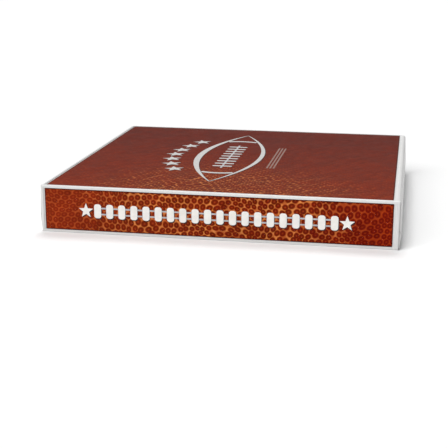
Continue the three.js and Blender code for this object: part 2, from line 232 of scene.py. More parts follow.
def span(tree, value, low, high, to_low=0.0, to_high=1.0, smooth=True):
    """A value's place between low and high, carried over to the range from to_low to to_high."""
    kind = {"interpolation_type": "SMOOTHSTEP" if smooth else "LINEAR"}
    return node(tree, "MapRange", kind, i0=value, i1=low, i2=high, i3=to_low, i4=to_high).outputs[0]


def ramp(tree, factor, stops):
    """A colour from a list of (place, colour) stops."""
    made = tree.nodes.new("ShaderNodeValToRGB")
    tree.links.new(factor, made.inputs[0])
    elements = made.color_ramp.elements
    while len(elements) < len(stops):
        elements.new(0.5)
    for element, (place, colour) in zip(elements, stops):
        element.position = place
        element.color = (*colour, 1)
    return made.outputs[0]


def noise(tree, vector, scale, detail=2.0, roughness=0.5):
    """Noise in space. The scale is per metre."""
    made = node(tree, "TexNoise", None, Vector=vector, Scale=scale, Detail=detail, Roughness=roughness)
    return made.outputs[0]


def sheet_noise(tree, sheet, scale, detail):
    """Noise over a flat sheet, as a value and a colour. The scale is per millimetre."""
    flat = {"noise_dimensions": "2D"}
    return node(tree, "TexNoise", flat, Vector=sheet, Scale=scale, Detail=detail).outputs


def object_space(tree):
    """Places on the piece itself, in metres, which move with it."""
    return tree.nodes.new("ShaderNodeTexCoord").outputs["Object"]


# ---------------------------------------------------------------- materials
PLASTIC_IOR = 1.49
PEBBLE = 5.3  # from one pebble's middle to the next, in millimetres
# Partly the cut edge's own colour and partly painted shadow where the print meets its pocket.
EDGE_AND_SHADOW_COLOUR = (0.060, 0.012, 0.007)  # along a print's cut edge


def moulded_plastic(name, light, shade, roughness, grain):
    """Moulded polypropylene: faint flow mottling, a fine grain, and slightly uneven gloss."""
    material, tree, shader = new_material(name)
    place = object_space(tree)
    flow = noise(tree, place, 14.0, 3.0, 0.55)
    cloud = noise(tree, place, 160.0, 2.0)
    tone = maths(tree, "ADD", maths(tree, "MULTIPLY", flow, 0.7), maths(tree, "MULTIPLY", cloud, 0.3))
    tree.links.new(mix(tree, span(tree, tone, 0.35, 0.65), shade, light), shader.inputs["Base Color"])
    speck = noise(tree, place, 900.0, 2.0)
    gloss = span(tree, speck, 0.3, 0.7, roughness - 0.05, roughness + 0.07)
    tree.links.new(gloss, shader.inputs["Roughness"])
    fine = noise(tree, place, 2600.0, 2.0)
    bump = node(tree, "Bump", None, Strength=grain, Distance=0.00006, Height=fine)
    wavy = node(tree, "Bump", None, Strength=0.25, Distance=0.0006, Height=flow, Normal=bump.outputs[0])
    tree.links.new(wavy.outputs[0], shader.inputs["Normal"])
    shader.inputs["Specular IOR Level"].default_value = 0.42
    shader.inputs["IOR"].default_value = PLASTIC_IOR
    return material


def clear_film(name, light, shade, alpha):
    """Clear film over a print, with a soft sheen that varies a little."""
    material, tree, shader = new_material(name)
    place = object_space(tree)
    wave = noise(tree, place, 30.0, 2.0)
    tree.links.new(mix(tree, wave, shade, light), shader.inputs["Base Color"])
    tree.links.new(span(tree, wave, 0.3, 0.7, 0.10, 0.20), shader.inputs["Roughness"])
    bump = node(tree, "Bump", None, Strength=0.15, Distance=0.0004, Height=wave)
    tree.links.new(bump.outputs[0], shader.inputs["Normal"])
    shader.inputs["Alpha"].default_value = alpha
    shader.inputs["IOR"].default_value = PLASTIC_IOR
    return material


def pebbles(tree, sheet):
    """Staggered rows of round pebbles, a little out of line. Gives the distance from the nearest one's
    middle, as a share of their spacing, and a random number for each pebble."""
    bend = sheet_noise(tree, sheet, 0.022, 1.0)[1]
    place = vector_maths(tree, "MULTIPLY_ADD", bend, (12.0, 12.0, 0.0), sheet)[0]
    # Two grids of cells, root 3 times as tall as they are wide and half a cell apart, make staggered rows.
    tall = math.sqrt(3)
    start = 40.0  # which part of the endless random pattern is used, in cells
    found = []
    for offset in (start, start + 0.5):
        shrink, shift = (1 / PEBBLE, 1 / PEBBLE / tall, 0.0), (offset, offset, 0.0)
        grid = vector_maths(tree, "MULTIPLY_ADD", place, shrink, shift)[0]
        cells = node(
            tree, "TexVoronoi", {"voronoi_dimensions": "2D", "feature": "F1"},
            Vector=grid, Scale=1.0, Randomness=0.22,
        ).outputs
        from_middle = vector_maths(tree, "SUBTRACT", grid, cells["Position"])[0]
        even = vector_maths(tree, "MULTIPLY", from_middle, (1.0, tall, 0.0))[0]
        away = vector_maths(tree, "LENGTH", even)["Value"]
        found.append((away, node(tree, "SeparateColor", None, i0=cells["Color"]).outputs[0]))
    (first, first_own), (second, second_own) = found
    nearer = maths(tree, "LESS_THAN", second, first)
    own = node(tree, "Mix", {"data_type": "FLOAT"}, i0=nearer, i2=first_own, i3=second_own).outputs[0]
    return maths(tree, "MINIMUM", first, second), own


def ball_leather(name, flat, middle, half_size, glow, fade, colours, cloudy, shine):
    """A print of pebbled ball leather. flat names the sheet's two axes, and middle and half_size say where
    it lies on them, in millimetres. colours are three lists of colour stops by distance from a pebble's
    middle: two quiet ones, mixed by fade, and a lively one that shows where glow is 1. fade and glow take
    u and v in millimetres. cloudy is how much the ink's density drifts, and shine is the gloss of the sheet
    under its film."""
    material, tree, shader = new_material(name)
    parts = node(tree, "SeparateXYZ", None, i0=object_space(tree)).outputs
    u, v = (maths(tree, "MULTIPLY", parts["XYZ".index(axis)], 1000.0) for axis in flat)
    sheet = node(tree, "CombineXYZ", None, i0=u, i1=v, i2=0.0).outputs[0]
    far, own = pebbles(tree, sheet)
    # On the cover and the back, fade carries painted shade and a painted reflection of the film's sheen
    # towards the back edge.
    quiet_colour = mix(tree, fade(tree, u, v), ramp(tree, far, colours[0]), ramp(tree, far, colours[1]))
    tone = mix(tree, glow(tree, u, v, sheet), quiet_colour, ramp(tree, far, colours[2]))
    # Each pebble is a little lighter or darker than the next, and the ink drifts slowly over the sheet.
    uneven, least = 0.22, 0.93 - cloudy / 2
    drift = sheet_noise(tree, sheet, 0.035, 3.0)[0]
    level = maths(tree, "ADD", maths(tree, "MULTIPLY", own, uneven), maths(tree, "MULTIPLY", drift, cloudy))
    level = maths(tree, "ADD", level, least)
    grey = node(tree, "CombineColor", None, i0=level, i1=level, i2=level).outputs[0]
    made = node(tree, "Mix", {"data_type": "RGBA", "blend_type": "MULTIPLY"}, i0=1.0, i6=tone, i7=grey)
    # The sheet is darker along its cut edge, over the last millimetre: partly its own cut edge, partly
    # painted shadow where it sits in its pocket under the film.
    past = []
    for place, centre, half in zip((u, v), middle, half_size):
        from_centre = maths(tree, "ABSOLUTE", maths(tree, "SUBTRACT", place, centre))
        past.append(maths(tree, "SUBTRACT", from_centre, half))
    edge_and_shadow = span(tree, maths(tree, "MAXIMUM", *past), -1.2, -0.5)
    colour = mix(tree, maths(tree, "MULTIPLY", edge_and_shadow, 0.8), made.outputs[2], EDGE_AND_SHADOW_COLOUR)
    tree.links.new(colour, shader.inputs["Base Color"])
    tree.links.new(span(tree, drift, 0.3, 0.7, 0.34, 0.46), shader.inputs["Roughness"])
    bump = node(tree, "Bump", None, Strength=0.10, Distance=0.0003, Height=drift)
    tree.links.new(bump.outputs[0], shader.inputs["Normal"])
    shader.inputs["Specular IOR Level"].default_value = shine
    return material


def printed_ink(name, colour, worn):
    """A printed graphic's ink, a little uneven in colour and gloss."""
    material, tree, shader = new_material(name)
    place = object_space(tree)
    cloud = noise(tree, place, 220.0, 3.0)
    tree.links.new(mix(tree, span(tree, cloud, 0.3, 0.7), colour, worn), shader.inputs["Base Color"])
    tree.links.new(span(tree, cloud, 0.3, 0.7, 0.35, 0.5), shader.inputs["Roughness"])
    shader.inputs["Specular IOR Level"].default_value = 0.3
    return material


case_white = moulded_plastic(
    "case_white", (0.805, 0.803, 0.793), (0.765, 0.763, 0.756), roughness=0.42, grain=0.35
)
latch_white = moulded_plastic(
    "latch_white", (0.82, 0.83, 0.83), (0.78, 0.79, 0.80), roughness=0.33, grain=0.15
)
ring_white = moulded_plastic(
    "ring_white", (0.80, 0.80, 0.79), (0.77, 0.77, 0.76), roughness=0.28, grain=0.08
)
pin_grey = moulded_plastic(
    "pin_grey", (0.62, 0.62, 0.61), (0.56, 0.56, 0.55), roughness=0.30, grain=0.08
)
film = clear_film("clear_film", (0.90, 0.90, 0.90), (0.84, 0.84, 0.84), alpha=0.0002)
weld = clear_film("film_weld", (0.90, 0.895, 0.88), (0.86, 0.86, 0.85), alpha=0.30)
white_ink = printed_ink("white_ink", (0.98, 0.96, 0.92), (0.91, 0.89, 0.85))
grey_ink = printed_ink("grey_ink", (0.55, 0.56, 0.58), (0.47, 0.48, 0.50))
cover_ink = printed_ink("cover_ink", (0.69, 0.685, 0.67), (0.61, 0.605, 0.59))
faint_ink = printed_ink("faint_ink", (0.34, 0.22, 0.19), (0.30, 0.18, 0.15))
shadow_ink = printed_ink("shadow_ink", (0.045, 0.012, 0.008), (0.03, 0.008, 0.006))

# Colours by distance from a pebble's middle: a faint highlight, its body, its dark rim and the valley
# between pebbles.
SPINE_LIVELY = [
    (0.0, (0.41, 0.066, 0.012)), (0.10, (0.25, 0.026, 0.003)), (0.25, (0.120, 0.009, 0.0)),
    (0.37, (0.158, 0.015, 0.001)), (0.45, (0.43, 0.090, 0.013)), (0.53, (0.70, 0.240, 0.062)),
]
SPINE_LEFT = [
    (0.0, (0.365, 0.040, 0.007)), (0.12, (0.29, 0.029, 0.005)), (0.28, (0.198, 0.016, 0.002)),
    (0.40, (0.246, 0.024, 0.003)), (0.54, (0.415, 0.060, 0.012)),
]
SPINE_RIGHT = [
    (0.0, (0.315, 0.024, 0.002)), (0.12, (0.225, 0.011, 0.0)), (0.27, (0.135, 0.004, 0.0)),
    (0.38, (0.18, 0.006, 0.0)), (0.52, (0.35, 0.034, 0.003)),
]
COVER_LIVELY = [
    (0.0, (0.30, 0.044, 0.008)), (0.12, (0.19, 0.020, 0.002)), (0.28, (0.100, 0.008, 0.0)),
    (0.38, (0.15, 0.018, 0.002)), (0.46, (0.34, 0.075, 0.016)), (0.54, (0.60, 0.20, 0.058)),
]
COVER_FRONT = [
    (0.0, (0.24, 0.026, 0.004)), (0.14, (0.205, 0.019, 0.002)), (0.32, (0.165, 0.013, 0.001)),
    (0.43, (0.20, 0.019, 0.002)), (0.56, (0.28, 0.034, 0.005)),
]
# Painted shade and painted reflection: the back of the cover is darker and greyer, standing in for light that
# falls off and the film's grazing sheen.
COVER_BACK_SHADE_AND_SHEEN = [
    (0.0, (0.145, 0.018, 0.006)), (0.14, (0.130, 0.014, 0.005)), (0.32, (0.110, 0.010, 0.004)),
    (0.43, (0.125, 0.014, 0.005)), (0.56, (0.155, 0.020, 0.007)),
]


def patches(tree, sheet, scale, least):
    """A patchy strength, from least to 1."""
    return span(tree, sheet_noise(tree, sheet, scale, 2.0)[0], 0.3, 0.62, least, 1.0)


def spine_fade(tree, u, v):
    """From the left colours to the right ones."""
    left, right = -90.0, 60.0
    return span(tree, u, left, right)


def spine_glow(tree, u, v, sheet):
    """The lively colours are full near the spine's middle and gone towards its ends."""
    middle, full, gone = 2.0, 62.0, 128.0
    near = span(tree, maths(tree, "ABSOLUTE", maths(tree, "SUBTRACT", u, middle)), gone, full)
    broad, fine = patches(tree, sheet, 0.05, 0.6), patches(tree, sheet, 0.17, 0.35)
    return maths(tree, "MULTIPLY", near, maths(tree, "MULTIPLY", broad, fine))


def cover_shade_and_sheen_fade(tree, u, v):
    """From the front colours to the back ones: painted shade and a painted reflection of the film's sheen,
    darker and greyer towards the back.
    """
    front, back = SPINE, SPINE + 240.0
    return span(tree, v, front, back, smooth=False)


def cover_glow(tree, u, v, sheet):
    """The lively colours are full at the middle of the cover's spine edge, and gone past an oval round it."""
    narrow, shallow, full, gone = 0.82, 0.85, 14.0, 118.0
    beside = maths(tree, "MULTIPLY", u, narrow)
    behind = maths(tree, "MULTIPLY", maths(tree, "SUBTRACT", v, SPINE), shallow)
    squares = maths(tree, "ADD", maths(tree, "POWER", beside, 2.0), maths(tree, "POWER", behind, 2.0))
    near = span(tree, maths(tree, "SQRT", squares), gone, full)
    broad, fine = patches(tree, sheet, 0.03, 0.6), patches(tree, sheet, 0.15, 0.45)
    return maths(tree, "MULTIPLY", near, maths(tree, "MULTIPLY", broad, fine))


def sheet_material(name, node_name, flat, glow, fade, colours, cloudy, shine):
    """The leather print that fits one CAD sheet."""
    low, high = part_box(node_name)
    axes = ["XYZ".index(a) for a in flat]
    middle = [(low[a] + high[a]) / 2 / MM for a in axes]
    half = [(high[a] - low[a]) / 2 / MM for a in axes]
    return ball_leather(name, flat, middle, half, glow, fade, colours, cloudy, shine)


spine_colours = (SPINE_LEFT, SPINE_RIGHT, SPINE_LIVELY)
cover_colours = (COVER_FRONT, COVER_BACK_SHADE_AND_SHEEN, COVER_LIVELY)
spine_leather = sheet_material(
    "spine_leather", "spine_print", "XZ", spine_glow, spine_fade, spine_colours, cloudy=0.30, shine=0.05
)
# The cover and the back get painted shade and a painted reflection of the film's sheen, darker and greyer
# towards their back edge.
cover_leather = sheet_material(
    "cover_leather", "cover_print", "XY", cover_glow, cover_shade_and_sheen_fade, cover_colours, cloudy=0.16, shine=0.15
)
back_leather = sheet_material(
    "back_leather", "back_print", "XY", cover_glow, cover_shade_and_sheen_fade, cover_colours, cloudy=0.16, shine=0.15
)


def dress(obj, material, body, slot, *nodes):
    """Gives a piece its material and its body, and hides the CAD nodes that it stands for. slot is not used.
    A piece that bends between two bodies has no body of its own."""
    obj.data.materials.clear()
    obj.data.materials.append(material)
    if body:
        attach(obj, body)
    if nodes:
        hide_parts(*nodes)


# ---------------------------------------------------------------- trays
def tray_row(inset, z):
    """One line round a tray, from its left spine end past both corners to its right spine end."""
    half, far = HALF - inset, OPEN - inset
    radius, steps = max(CORNER - inset, 1.0), 10
    row = [(-half, TRAY_EDGE, z)]
    row += [(x, y, z) for x, y in arc(radius - half, far - radius, radius, 180, 90, steps)]
    row += [(x, y, z) for x, y in arc(half - radius, far - radius, radius, 90, 0, steps)]
    row.append((half, TRAY_EDGE, z))
    return row


def tray(name, profile):
    """A tray shell from its section, given as (inset, z) from the pocket's floor, over the outside, to the
    inner floor. Its spine side is open and ends in a flat section."""
    bm = bmesh.new()
    rows = [[bm.verts.new(p) for p in tray_row(inset, z)] for inset, z in profile]
    for low, high in zip(rows, rows[1:]):
        for i in range(len(low) - 1):
            bm.faces.new((low[i], low[i + 1], high[i + 1], high[i]))
    caps = [bm.faces.new(rows[0]), bm.faces.new(rows[-1])]
    caps.append(bm.faces.new([r[0] for r in rows] + [r[-1] for r in reversed(rows)]))
    bmesh.ops.triangulate(bm, faces=caps, ngon_method="EAR_CLIP")
    return from_bmesh(name, bm)


def lid_section():
    """The lid's wall has a groove in its lower edge, open to the inside, for the base's tongue."""
    top = HEIGHT
    fold = [
        (LID_DRAFT + LID_ROUND - u, top - LID_ROUND + v)
        for u, v in arc(0, 0, LID_ROUND, 90, 0, 8)
    ]
    inner, corner = WALL + LID_DRAFT, top - PANEL - INNER_ROUND
    lip, groove = WALL - TONGUE - GAP, BASE_HIGH + TONGUE_TALL + GAP
    return [
        (LID_POCKET, top - RECESS), (LID_POCKET, top - POCKET_EDGE), (LID_POCKET - POCKET_EDGE, top),
        *fold,
        (0.02, LID_LOW + 0.35), (0.12, LID_LOW + 0.1), (0.32, LID_LOW),
        (lip - 0.1, LID_LOW), (lip, LID_LOW + 0.1),
        (lip, groove), (WALL - 0.15, groove), (WALL, groove + 0.15),
        *[(inner + INNER_ROUND - u, corner + v) for u, v in arc(0, 0, INNER_ROUND, 0, 90, 5)],
    ]


def base_section():
    """The base's wall has a tongue along the inner side of its upper edge."""
    fold = [
        (BASE_DRAFT + BASE_ROUND - u, BASE_ROUND - v)
        for u, v in arc(0, 0, BASE_ROUND, 90, 0, 8)
    ]
    inner, corner = WALL + BASE_DRAFT, PANEL + INNER_ROUND
    root, tip = WALL - TONGUE, BASE_HIGH + TONGUE_TALL
    return [
        (BASE_POCKET, RECESS), (BASE_POCKET, POCKET_EDGE), (BASE_POCKET - POCKET_EDGE, 0),
        *fold,
        (0.02, BASE_HIGH - 0.35), (0.12, BASE_HIGH - 0.1), (0.32, BASE_HIGH),
        (root - 0.06, BASE_HIGH), (root, BASE_HIGH + 0.06),
        (root, tip - 0.25), (root + 0.2, tip), (WALL - 0.2, tip), (WALL, tip - 0.2),
        (inner - 0.05, corner),
        *[(inner + INNER_ROUND - u, corner - v) for u, v in arc(0, 0, INNER_ROUND, 0, 90, 5)][1:],
    ]


def lid_inset(z):
    """How far the lid's drafted wall stands in from the parting line at a height."""
    return LID_DRAFT * (z - LID_LOW) / (HEIGHT - LID_ROUND - LID_LOW)


def base_inset(z):
    """The same for the base's wall."""
    return BASE_DRAFT * (BASE_HIGH - z) / (BASE_HIGH - BASE_ROUND)


def ledge(x, z, wall):
    """A wedge out of the opening wall, undercut for a fingernail, with rounded edges."""
    root, rise, reach, half = wall - WALL / 2, LEDGE_RISE, LEDGE_REACH, LEDGE_HALF
    side = [
        (root, z), (wall + reach - 0.35, z), (wall + reach - 0.1, z + 0.08), (wall + reach, z + 0.35),
        (wall + 0.25, z + rise - 0.25), (wall, z + rise + 0.05), (root, z + rise + 0.05),
    ]
    front = [
        (x - half, z), (x + half, z), (x + half - 0.1, z + 0.8),
        (x + half - 1.2, z + rise + 0.1), (x - half + 1.2, z + rise + 0.1), (x - half + 0.1, z + 0.8),
    ]
    made = from_bmesh("ledge", prism("yz", side, x - half, x + half))
    face = from_bmesh("face", prism("xz", front, root - 1, wall + reach + 1))
    return boolean(made, face, "INTERSECT")


def guide(x):
    """A low pad beside a latch. It stands on the lid's wall and hangs past the parting line, clear of the
    base."""
    root, low, high = OPEN - WALL / 2, GUIDE_LOW, GUIDE_HIGH
    foot = OPEN - base_inset(low)
    side = [
        (root, high), (OPEN - lid_inset(high) + 0.05, high), (OPEN + 0.3, high - 0.6), (OPEN + 0.6, LID_LOW),
        (foot + 0.65, low + 0.3), (foot + 0.45, low), (foot + 0.15, low),
        (OPEN + 0.15, BASE_HIGH), (OPEN + 0.15, LID_LOW + 0.5), (root, LID_LOW + 0.5),
    ]
    front = rounded_rectangle(x - GUIDE_HALF, low - 0.1, x + GUIDE_HALF, high, 0.9, 4)
    made = from_bmesh("guide", prism("yz", side, x - GUIDE_HALF - 1, x + GUIDE_HALF + 1))
    face = from_bmesh("face", prism("xz", front, root - 1, OPEN + 2))
    return boolean(made, face, "INTERSECT")


def notch():
    """The space that the base's tab takes out of the lid's wall, open at the bottom."""
    half, low, high = TAB_HALF + GAP, 10.0, TAB_TOP + GAP
    outline = [(-half, low), (half, low), (half, high), (-half, high)]
    return from_bmesh("notch", prism("xz", outline, OPEN - 2 * WALL, OPEN + 1))


def tab():
    """The base's middle tab, which stands up into the lid's notch."""
    outline = rounded_rectangle(-TAB_HALF, TAB_LOW, TAB_HALF, TAB_TOP, 0.5, 3)
    return from_bmesh("tab", prism("xz", outline, OPEN - WALL, OPEN - lid_inset(TAB_TOP), 0.12, 1))


def nub(x):
    """The nub that catches in a latch's window, sloped on top so that the latch rides over it."""
    low, high, half = WINDOW_LOW + GAP, WINDOW_HIGH - GAP, WINDOW_HALF - 0.4
    root, tip = OPEN - base_inset(WINDOW_LOW) - WALL / 2, OPEN + 2.2
    side = [
        (root, low), (tip - 0.1, low), (tip, low + 0.1), (tip, low + 0.8), (tip - 0.15, low + 1.05),
        (OPEN + 0.6, high), (root, high),
    ]
    return from_bmesh("nub", prism("yz", side, x - half, x + half))


def stud(x):
    """A stud on the base's floor that takes one of the ring rail's caps."""
    sides = 24
    outline = arc(x, STUD_Y, STUD_R, 0, 360, sides)[:-1]
    return from_bmesh("stud", prism("xy", outline, PANEL - 0.5, STUD_TOP))


lid_shell = tray("lid_shell", lid_section())
boolean(lid_shell, notch(), "DIFFERENCE")
over_notch = TAB_TOP + GAP
boolean(lid_shell, ledge(0, over_notch, OPEN - lid_inset(over_notch + LEDGE_RISE)), "UNION")
for x in (-LATCH_X - GUIDE_PLACE, GUIDE_PLACE - LATCH_X, LATCH_X - GUIDE_PLACE, LATCH_X + GUIDE_PLACE):
    boolean(lid_shell, guide(x), "UNION")
dress(lid_shell, case_white, "lid", "case_plastic", "lid_tray")

base_shell = tray("base_shell", base_section())
boolean(base_shell, tab(), "UNION")
for x in (-BASE_LEDGE_X, BASE_LEDGE_X):
    boolean(base_shell, ledge(x, BASE_LEDGE_Z, OPEN - base_inset(BASE_LEDGE_Z + LEDGE_RISE)), "UNION")
for x in (-LATCH_X, LATCH_X):
    boolean(base_shell, nub(x), "UNION")
for x in STUD_PLACES:
    boolean(base_shell, stud(x), "UNION")
dress(base_shell, case_white, "base", "case_plastic", "base_tray")


# ---------------------------------------------------------------- spine plate and living hinges
def spine_plate():
    """The spine panel, with its pocket for the print and soft outer edges."""
    edge, pocket = SPINE_HALF, SPINE_HALF - 2
    outline = [
        (-edge, SPINE + PANEL), (-edge, SPINE + 0.5), (-edge + 0.15, SPINE + 0.15), (-edge + 0.5, SPINE),
        (-pocket - POCKET_EDGE, SPINE), (-pocket, SPINE + POCKET_EDGE), (-pocket, SPINE + RECESS),
    ]
    outline += [(-u, v) for u, v in reversed(outline)]
    return from_bmesh("spine_plate", prism("xy", outline, HINGE_SPAN, HEIGHT - HINGE_SPAN))


WEB_THICK = 0.75


def fold_web(name, z, up):
    """A living hinge: a thin web round the closed case's corner, from one panel's edge to the other's. It
    bends about a line at height z, and up is 1 for the lid's and -1 for the base's."""
    reach = HINGE_SPAN + 0.02
    bend, core = SPINE + HINGE_R, HINGE_R - WEB_THICK
    outer = [(SPINE, HINGE_R - reach), *arc(bend, 0, HINGE_R, 180, 90, 10), (SPINE + reach, HINGE_R)]
    inner = [(SPINE + reach, core), *arc(bend, 0, core, 90, 180, 6), (SPINE + WEB_THICK, HINGE_R - reach)]
    section = [(y, z + up * rise) for y, rise in outer + inner]
    return from_bmesh(name, prism("yz", section, -SPINE_HALF, SPINE_HALF), 40)


dress(spine_plate(), case_white, "spine", "case_plastic", "spine_panel")
lid_fold = fold_web("lid_fold", HEIGHT - HINGE_R, 1)
dress(lid_fold, case_white, None, "case_plastic", "lid_living_hinge")
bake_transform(lid_fold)
base_fold = fold_web("base_fold", HINGE_R, -1)
dress(base_fold, case_white, None, "case_plastic", "base_living_hinge")
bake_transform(base_fold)


# ---------------------------------------------------------------- prints and films
def thin_sheet(name, node_name, plane, radius):
    """A flat sheet as large as its CAD node, with rounded corners."""
    low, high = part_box(node_name)
    low, high = low / MM, high / MM
    if plane == "xy":
        outline = rounded_rectangle(low.x, low.y, high.x, high.y, radius)
        return from_bmesh(name, prism("xy", outline, low.z, high.z))
    outline = rounded_rectangle(low.x, low.z, high.x, high.z, radius)
    return from_bmesh(name, prism("xz", outline, low.y, high.y))


def print_sheet(face, plane, radius, material, body):
    """A printed sheet in its pocket."""
    obj = thin_sheet(face + "_sheet", face + "_print", plane, radius)
    dress(obj, material, body, "printed_sheet", face + "_print")


def film_window(face, plane, radius, body):
    """A clear film. The border that reaches past its print is welded to the case, and looks milky."""
    obj = thin_sheet(face + "_window", face + "_film", plane, radius)
    low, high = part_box(face + "_print")
    axes = ["xyz".index(a) for a in plane]
    bm = bmesh.new()
    bm.from_mesh(obj.data)
    for axis in axes:
        for corner in (low, high):
            normal = Vector([1.0 if i == axis else 0.0 for i in range(3)])
            whole = list(bm.verts) + list(bm.edges) + list(bm.faces)
            bmesh.ops.bisect_plane(bm, geom=whole, plane_co=corner, plane_no=normal)
    for patch in bm.faces:
        middle = patch.calc_center_median()
        patch.material_index = 0 if all(low[a] < middle[a] < high[a] for a in axes) else 1
    bm.to_mesh(obj.data)
    bm.free()
    dress(obj, film, body, "clear_film", face + "_film")
    obj.data.materials.append(weld)


print_sheet("spine", "xz", 0.6, spine_leather, "spine")
print_sheet("cover", "xy", 0.8, cover_leather, "lid")
print_sheet("back", "xy", 0.8, back_leather, "base")
film_window("spine", "xz", 0.8, "spine")
film_window("cover", "xy", 1.2, "lid")
film_window("back", "xy", 1.2, "base")


# ---------------------------------------------------------------- printed graphics
def star(u, v, radius, turn=90.0):
    """A five-pointed star. turn is the way its first point looks, in degrees."""
    points = []
    hollow = radius * 0.42
    for i in range(10):
        angle = math.radians(turn + 36 * i)
        length = radius if i % 2 == 0 else hollow
        points.append((u + length * math.cos(angle), v + length * math.sin(angle)))
    return points


def ink(name, plane, outlines, level, out, material, body):
    """Flat printed shapes. level is where they lie, and out is the way that their sheet faces, 1 or -1."""
    bm = bmesh.new()
    for outline in outlines:
        prism(plane, outline, level + out * INK * 0.2, level + out * INK, into=bm)
    dress(from_bmesh(name, bm), material, body, "printed_sheet")


def moved(outlines, du, dv):
    """The same outlines a little aside, for a printed shadow."""
    return [[(u + du, v + dv) for u, v in outline] for outline in outlines]


def spine_laces():
    """A row of ball laces: upright bars with a star at each end, and the two cords between them."""
    middle, tall, wide, pitch, count = 19.6, 12.0, 6.0, 10.3, 20
    first = -1.0 - pitch * (count - 1) / 2
    places = [first + i * pitch for i in range(count)]
    bars = [
        rounded_rectangle(x - wide / 2, middle - tall / 2, x + wide / 2, middle + tall / 2, 2.2, 4)
        for x in places
    ]
    cords, thick, overlap = [], 1.3, 0.2
    for x in places[:-1]:
        left, right = x + wide / 2 - overlap, x + pitch - wide / 2 + overlap
        for z in (middle - 3.2, middle + 1.9):
            cords.append([(left, z), (right, z), (right, z + thick), (left, z + thick)])
    beyond = wide / 2 + 7.0  # from an end bar's middle to its star's
    stars = [star(x, middle, 6.4) for x in (places[0] - beyond, places[-1] + beyond)]
    return bars + stars, cords


# The layers of ink stand a few thousandths of a millimetre over each other.
LOW_LAYER, MIDDLE_LAYER, HIGH_LAYER = 0.002, 0.008, 0.014
spine_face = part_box("spine_print")[0].y / MM
bars, cords = spine_laces()
ink("spine_lace_shadow", "xz", moved(bars, 0.7, -0.8), spine_face - LOW_LAYER, -1, shadow_ink, "spine")
ink("spine_lace_bars", "xz", bars, spine_face - HIGH_LAYER, -1, white_ink, "spine")
ink("spine_lace_cords", "xz", cords, spine_face - HIGH_LAYER, -1, grey_ink, "spine")


def stroke(middle, width):
    """An outline round a curved stroke, from its middle line and its width along it."""
    left, right = [], []
    for i, (u, v) in enumerate(middle):
        before, after = middle[max(i - 1, 0)], middle[min(i + 1, len(middle) - 1)]
        du, dv = after[0] - before[0], after[1] - before[1]
        length = math.hypot(du, dv)
        half = width(i / (len(middle) - 1)) / 2
        left.append((u - dv / length * half, v + du / length * half))
        right.append((u + dv / length * half, v - du / length * half))
    return left + right[::-1]


def ball_figure():
    """A plain ball outline with its laces and end stripes and an arch of stars beside it, and its seam."""
    centre, reach, bulge = -13.0, 106.0, 29.0  # the ball's middle line, half its length and half its width
    rows = [-reach + 2 * reach * i / 40 for i in range(41)]
    shapes = []
    for side, swell in ((-1, 5.2), (1, 3.4)):
        line = [(centre + side * bulge * (1 - (v / reach) ** 2), v) for v in rows]
        shapes.append(stroke(line, lambda t, swell=swell: 0.7 + swell * math.sin(math.pi * t)))
    across = [i / 8 - 1 for i in range(17)]
    for v in (-70.0, 70.0):
        half = bulge * (1 - (v / reach) ** 2) - 2.4
        stripe = [(centre + half * t, v + math.copysign(3.0, v) * (1 - t * t)) for t in across]
        shapes.append(stroke(stripe, lambda t: 4.2))
    lace_half, lace_thick = 9, 3.8
    for v in range(-44, 45, 11):
        low, high = v - lace_thick / 2, v + lace_thick / 2
        shapes.append(rounded_rectangle(centre - lace_half, low, centre + lace_half, high, 1.6, 4))
    arch, arch_half, hollow = -66, 63, 13
    for v in range(-arch_half, arch_half + 1, 21):
        shapes.append(star(arch + hollow * (v / arch_half) ** 2, v, 9.4, 180.0))
    seam_half = 52
    seam = [(centre, -seam_half + 2 * seam_half * i / 12) for i in range(13)]
    return shapes, [stroke(seam, lambda t: 1.8)]


def plain_lines():
    """Three thin lines beside the ball."""
    half, thick = 46, 1.5
    return [[(u, -half), (u + thick, -half), (u + thick, half), (u, half)] for u in (27.0, 30.0, 33.0)]


cover_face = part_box("cover_print")[1].z / MM
figure, seam = ball_figure()
ink("cover_figure_shadow", "xy", moved(figure, 0.8, -0.9), cover_face + LOW_LAYER, 1, shadow_ink, "lid")
ink("cover_figure", "xy", figure, cover_face + HIGH_LAYER, 1, cover_ink, "lid")
ink("cover_bands", "xy", plain_lines(), cover_face + MIDDLE_LAYER, 1, faint_ink, "lid")
ink("cover_figure_seam", "xy", seam, cover_face + MIDDLE_LAYER, 1, grey_ink, "lid")


# ---------------------------------------------------------------- latches
def curve(a, control, b, steps):
    """Points on a quadratic curve, without its first."""
    found = []
    for i in range(1, steps + 1):
        t = i / steps
        ends = zip(a, control, b)
        found.append(tuple((1 - t) ** 2 * p + 2 * t * (1 - t) * c + t * t * q for p, c, q in ends))
    return found


def latch_section():
    """The latch from the side, as distance from the wall and height: a rolled top, a sloping shoulder, a flat
    plate and a lip that curls out."""
    top = arc(LATCH_OUT, LATCH_TOP, LATCH_R, 205, 62, 9)
    shoulder, plate = (2.35, 16.55), (2.7, 4.3)
    lip_top, lip_bottom = (4.62, 1.62), (4.4, 0.5)
    outside = [shoulder, *curve(shoulder, (2.7, 15.7), (2.72, 14.9), 5), plate]
    lip = [*curve(plate, (2.8, 2.4), lip_top, 10), *curve(lip_top, (4.86, 0.95), lip_bottom, 6)]
    inside = [*curve(lip_bottom, (2.0, 0.6), (1.4, 3.0), 10), (1.3, 14.6)]
    return [(OPEN + u, z) for u, z in top + outside + lip + inside]


def latch_face():
    """The latch from in front, as a half outline from above its top to below its lip."""
    side, under = (LATCH_HALF, 6.2), (8.2, 3.1)
    corner = curve(side, (LATCH_HALF, 3.5), under, 8)
    neck = curve(under, (7.2, 2.9), (6.9, 1.9), 5)
    return [(LATCH_HALF, 22.0), side, *corner, *neck, (6.6, -1.0)]


